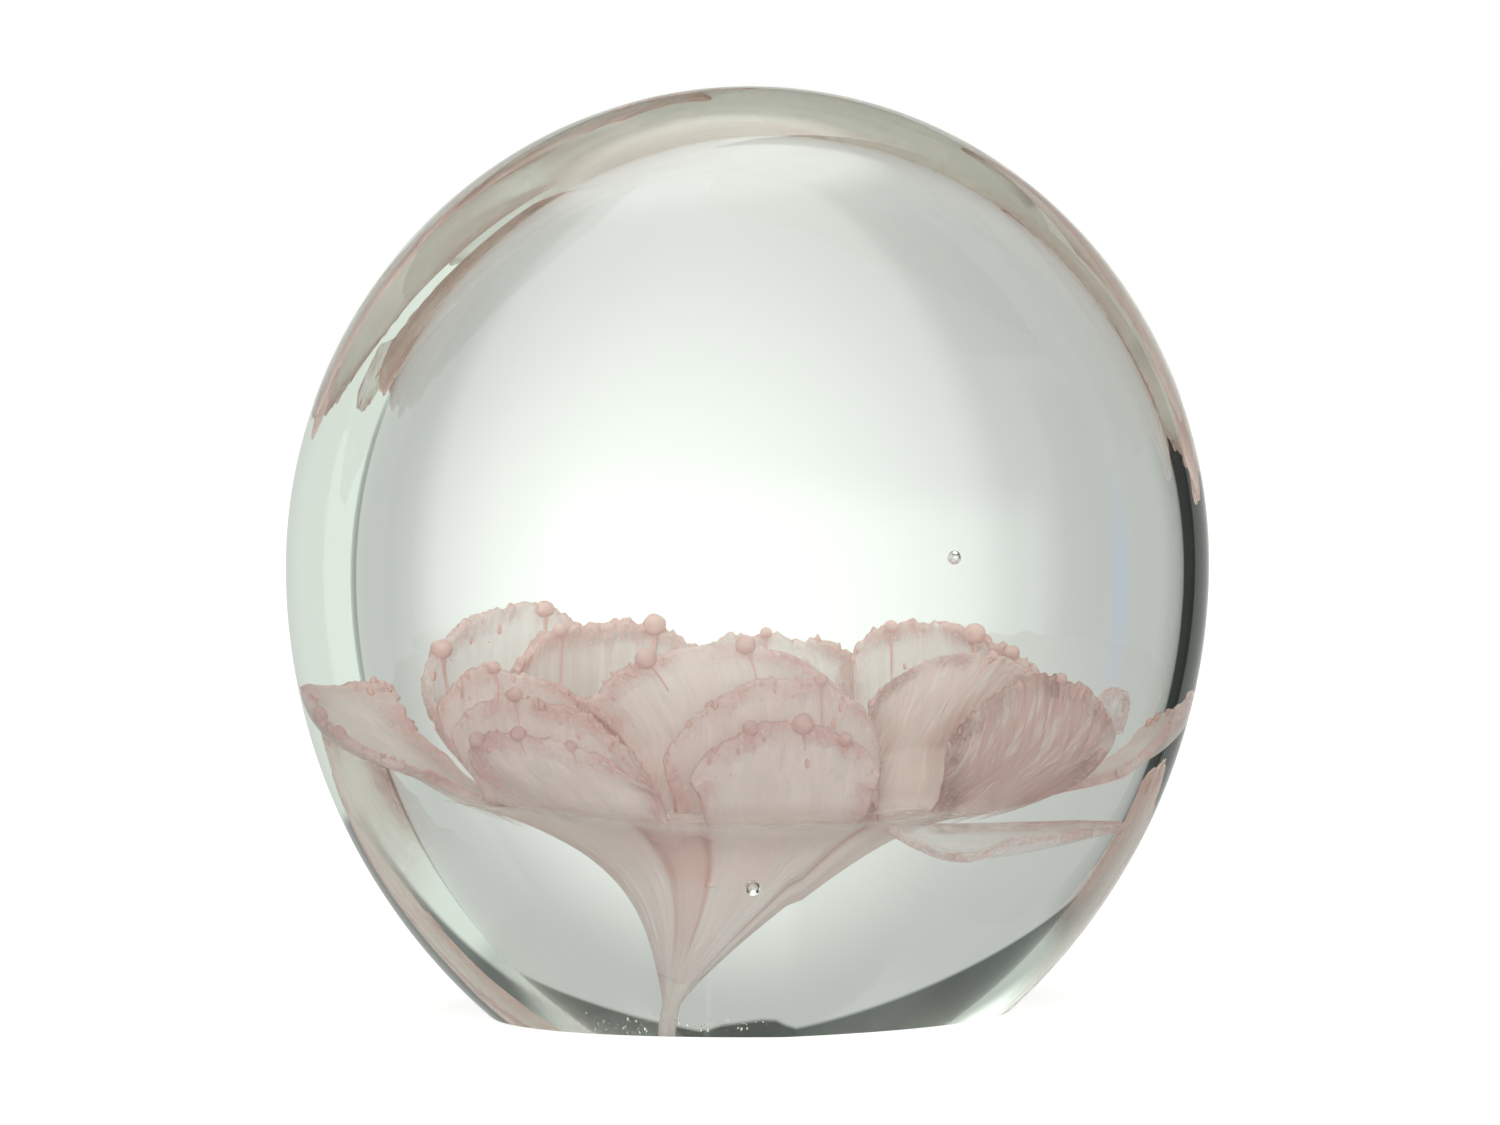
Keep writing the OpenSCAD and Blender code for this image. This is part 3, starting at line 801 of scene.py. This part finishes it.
def trumpet_glass():
    material, g = new_material("trumpet_glass")
    turn, s = g.uv("UVMap")
    turn = g.times(turn, 2 * math.pi)
    ring = g.vector(g.math("COSINE", turn), g.math("SINE", turn), g.times(s, 0.22))
    broad = g.noise(ring, 4.0, 3.0)
    fine = g.noise(ring, 26.0, 4.0, 0.6)
    streak = g.step(g.add(g.times(broad, 0.55), g.times(fine, 0.45)), 0.44, 0.64)
    colour = g.mix(g.times(streak, 0.4), PALE, PINK)
    # pale threads, and a deeper pink in the creases
    thread = g.times(g.step(fine, 0.60, 0.70), g.step(s, 0.9, 0.5))
    colour = g.mix(g.times(thread, 0.6), colour, THREAD)
    across = g.math("SUBTRACT", turn, math.radians(RIDGE % 360))
    ridge = g.times(g.step(g.math("ABSOLUTE", across), math.radians(11), math.radians(6)),
                    g.step(s, 0.05, 0.3))
    colour = g.mix(g.times(ridge, 0.55), colour, RIDGE_PINK)
    for middle, width, _ in CREASES[:3]:
        across = g.math("SUBTRACT", turn, math.radians(middle % 360))
        deep = g.times(g.hill(across, 0.0, math.radians(width * 0.35)), g.step(s, 0.05, 0.3))
        colour = g.mix(g.times(deep, 0.6), colour, CREASE_PINK)
    colour = g.mix(g.step(s, 0.22, 0.02), colour, NECK)
    # the lip is painted paler, painted light that lifts the shade where the wall turns edge-on under the
    # rim, and it thins out between the petals, as the wall does at the back
    colour = g.mix(g.times(g.step(s, 0.70, 0.82), 0.8), colour, PAINTED_LIGHT_LIP)
    lip = g.step(s, 0.90, 0.78)
    back = g.add(1.0, g.times(g.step(g.math("SINE", turn), -0.1, 0.5), -0.5))
    milky(g, colour, g.times(lip, back, g.add(0.93, g.times(streak, 0.07))), g.bump(fine, 0.35, 0.0004))
    return material


def stem_glass():
    material, g = new_material("stem_glass")
    turn, s = g.uv("UVMap")
    fine = g.noise(g.vector(g.times(turn, 24.0), g.times(s, 8.0)), 1.0, 3.0)
    colour = g.mix(g.step(fine, 0.4, 0.65), STEM, STEM_STREAK)
    milky(g, colour, 0.95)
    return material


def bead_glass():
    material, g = new_material("bead_glass")
    place = g.node("ShaderNodeTexCoord").outputs["Object"]
    grain = g.noise(place, 900.0, 3.0)
    milky(g, g.mix(g.step(grain, 0.35, 0.7), BEAD, BEAD_DEEP), 1.0,
          g.bump(grain, 0.2, 0.0003))
    return material


# ---------------------------------------------------------------- the object
ball = add_piece("glass_ball", ball_mesh(), clear_glass(), "glass_body")
ball.data.set_sharp_from_angle(angle=math.radians(25))
for petal_name in PETALS:
    seed_here = seed_of(petal_name)
    ribs_here = RIBBED.get(petal_name, 0.0)
    look = petal_glass(petal_name, seed_here, ribs_here, OPACITY.get(petal_name, OPAQUE),
                       FADE.get(petal_name))
    add_piece(petal_name + "_blown", petal_mesh(petal_name, seed_here), look, petal_name)
add_piece("trumpet_blown", trumpet_mesh(), trumpet_glass(), "trumpet")
add_piece("stem_drawn", stem_mesh(), stem_glass(), "stem")
bead_look = bead_glass()
for bead_name, bead_list in BEADS.items():
    add_piece(bead_name + "_round", bead_mesh(bead_name, bead_list), bead_look, bead_name)


# ---------------------------------------------------------------- studio
FORWARD = math.radians(10)   # heading of the studio's back wall, from +Y towards +X
ROOM_LIGHT = 0.52            # levels of light; 1 is white
OVERHEAD_LIGHT = 3.0
SOFTBOX_LIGHT = 2.0
ROOM = (0.99, 1.01, 0.975, 1)   # colours of the light
DARK_ROOM = (0.84, 1.0, 0.88, 1)
GEL = (0.90, 0.98, 1.16, 1)
# Panels by direction, in degrees of azimuth and elevation from the back wall. Each edge is
# [outside, inside]: left, right, bottom and top, then the light that a card adds or the share
# that a flag takes.
CARD = ((92.0, 97.0), (128.0, 120.0), None, (48.0, 44.0), 0.25)
FLAGS = [
    ((106.5, 108.0), (135.0, 125.0), (25.0, 27.0), (60.0, 52.0), 0.8),
    ((-129.0, -127.0), (-114.0, -118.0), (-38.0, -28.0), (48.0, 42.0), 0.95),
    ((48.0, 49.5), (80.0, 70.0), (-24.0, -16.0), None, 0.88)]


def panel(g, az, el, left, right, bottom, top, strength):
    edges = [g.step(angle, *edge) for angle, edge in ((az, left), (az, right), (el, bottom), (el, top))
             if edge]
    return g.times(*edges, strength)


def studio_light(g, az, el):
    """Level of the studio's light, and where the dark room above its back wall is."""
    # glow on the back wall that runs down onto the table
    glow = g.times(g.hill(az, 6.0, 17.0), g.step(el, 19.0, 3.0),
                   g.add(0.16, g.times(0.38, g.hill(el, 1.0, 15.0))))
    table = g.times(g.step(el, -22.0, -45.0), 0.08)
    light = g.add(ROOM_LIGHT, glow, table)
    side = g.math("ABSOLUTE", az)
    # the dark room's lower edge rises to both sides
    over = g.math("SUBTRACT", el, g.add(g.times(side, 0.26), g.times(az, 0.04)))
    above = g.times(g.step(side, 75.0, 60.0), g.step(over, 18.9, 19.8), g.step(el, 60.0, 50.0))
    light = g.times(light, g.math("SUBTRACT", 1.0, g.times(above, 0.88)))
    # overhead softbox, and a large one behind the camera
    light = g.add(light, g.times(g.step(el, 60.0, 70.0), OVERHEAD_LIGHT))
    light = g.add(light, g.times(g.step(side, 128.0, 138.0), g.step(el, -18.0, -6.0),
                                 g.step(el, 70.0, 60.0), SOFTBOX_LIGHT))
    # bright card on the right, and black flags
    light = g.add(light, panel(g, az, el, *CARD))
    for flag in FLAGS:
        light = g.times(light, g.math("SUBTRACT", 1.0, panel(g, az, el, *flag)))
    return light, above


def studio_world():
    """Pale studio by direction. Only camera rays see plain white: glass shows the studio."""
    world = bpy.data.worlds.new("studio")
    bpy.context.scene.world = world
    world.use_nodes = True
    g = Graph(world.node_tree)
    turned = g.node("ShaderNodeMapping", Vector=g.node("ShaderNodeTexCoord").outputs["Generated"])
    turned.inputs["Rotation"].default_value = (0, 0, FORWARD)
    split = g.node("ShaderNodeSeparateXYZ", Vector=turned.outputs[0])
    degrees = 180 / math.pi
    az = g.times(g.math("ARCTAN2", split.outputs[0], split.outputs[1]), degrees)
    el = g.times(g.math("ARCSINE", split.outputs[2]), degrees)
    light, above = studio_light(g, az, el)
    # a soft blue gel to the left of the glow
    gel = g.times(g.hill(az, -28.5, 1.9), g.hill(el, -2.0, 6.0))
    studio = g.node("ShaderNodeVectorMath")
    studio.operation = "SCALE"
    g.put(studio.inputs[0], g.mix(gel, g.mix(above, ROOM, DARK_ROOM), GEL))
    g.put(studio.inputs["Scale"], light)
    seen = g.node("ShaderNodeLightPath").outputs["Is Camera Ray"]
    background = g.node("ShaderNodeBackground", Color=g.mix(seen, studio.outputs[0], (1, 1, 1, 1)))
    output = g.tree.nodes.new("ShaderNodeOutputWorld")
    g.put(output.inputs["Surface"], background.outputs[0])


FLOOR_REACH, FLOOR_Z = 3.0, -1e-5   # in metres
PAPER = (0.4, 0.4, 0.4, 1)
PAPER_LIFT = 0.75                   # brings the lit paper to white


def pale_floor():
    """White paper for camera rays only: glass shows the studio's table instead."""
    mesh = bpy.data.meshes.new("floor")
    corners = [(-1, -1), (1, -1), (1, 1), (-1, 1)]
    mesh.from_pydata([(x * FLOOR_REACH, y * FLOOR_REACH, FLOOR_Z) for x, y in corners], [],
                     [(0, 1, 2, 3)])
    floor = bpy.data.objects.new("floor", mesh)
    bpy.context.scene.collection.objects.link(floor)
    material, g = new_material("pale_floor")
    paper = g.node("ShaderNodeBsdfDiffuse")
    paper.inputs["Color"].default_value = PAPER
    lift = g.node("ShaderNodeEmission")
    lift.inputs["Strength"].default_value = PAPER_LIFT
    both = g.node("ShaderNodeAddShader")
    g.put(both.inputs[0], paper.outputs[0])
    g.put(both.inputs[1], lift.outputs[0])
    clear = g.node("ShaderNodeBsdfTransparent").outputs[0]
    seen = g.node("ShaderNodeLightPath").outputs["Is Camera Ray"]
    g.output(g.shader_mix(seen, clear, both.outputs[0]))
    mesh.materials.append(material)


CAMERA_SIDE = math.radians(10)   # how far the camera stands to the left of the front
CAMERA_RISE = math.radians(3)
CAMERA_AWAY = 520 * MM
AIM_Z = 50 * MM                  # level that the camera looks at
VIEW_W = 162.3 * MM * 0.995      # width of the view at the object
SENSOR_W = 36
SHIFT = (-0.00095, -0.00985)


def camera():
    data = bpy.data.cameras.new("camera")
    view = bpy.data.objects.new("camera", data)
    bpy.context.scene.collection.objects.link(view)
    level = CAMERA_AWAY * math.cos(CAMERA_RISE)
    view.location = (-level * math.sin(CAMERA_SIDE), -level * math.cos(CAMERA_SIDE),
                     AIM_Z + CAMERA_AWAY * math.sin(CAMERA_RISE))
    view.rotation_euler = (math.pi / 2 - CAMERA_RISE, 0, -CAMERA_SIDE)
    data.sensor_width = SENSOR_W
    data.lens = SENSOR_W * CAMERA_AWAY / VIEW_W
    data.shift_x, data.shift_y = SHIFT
    data.clip_start = 0.01
    bpy.context.scene.camera = view


studio_world()
pale_floor()
camera()
scene = bpy.context.scene
scene.view_settings.view_transform = "Standard"
scene.cycles.max_bounces = 32
scene.cycles.transmission_bounces = 28
scene.cycles.diffuse_bounces = 8
scene.cycles.transparent_max_bounces = 32
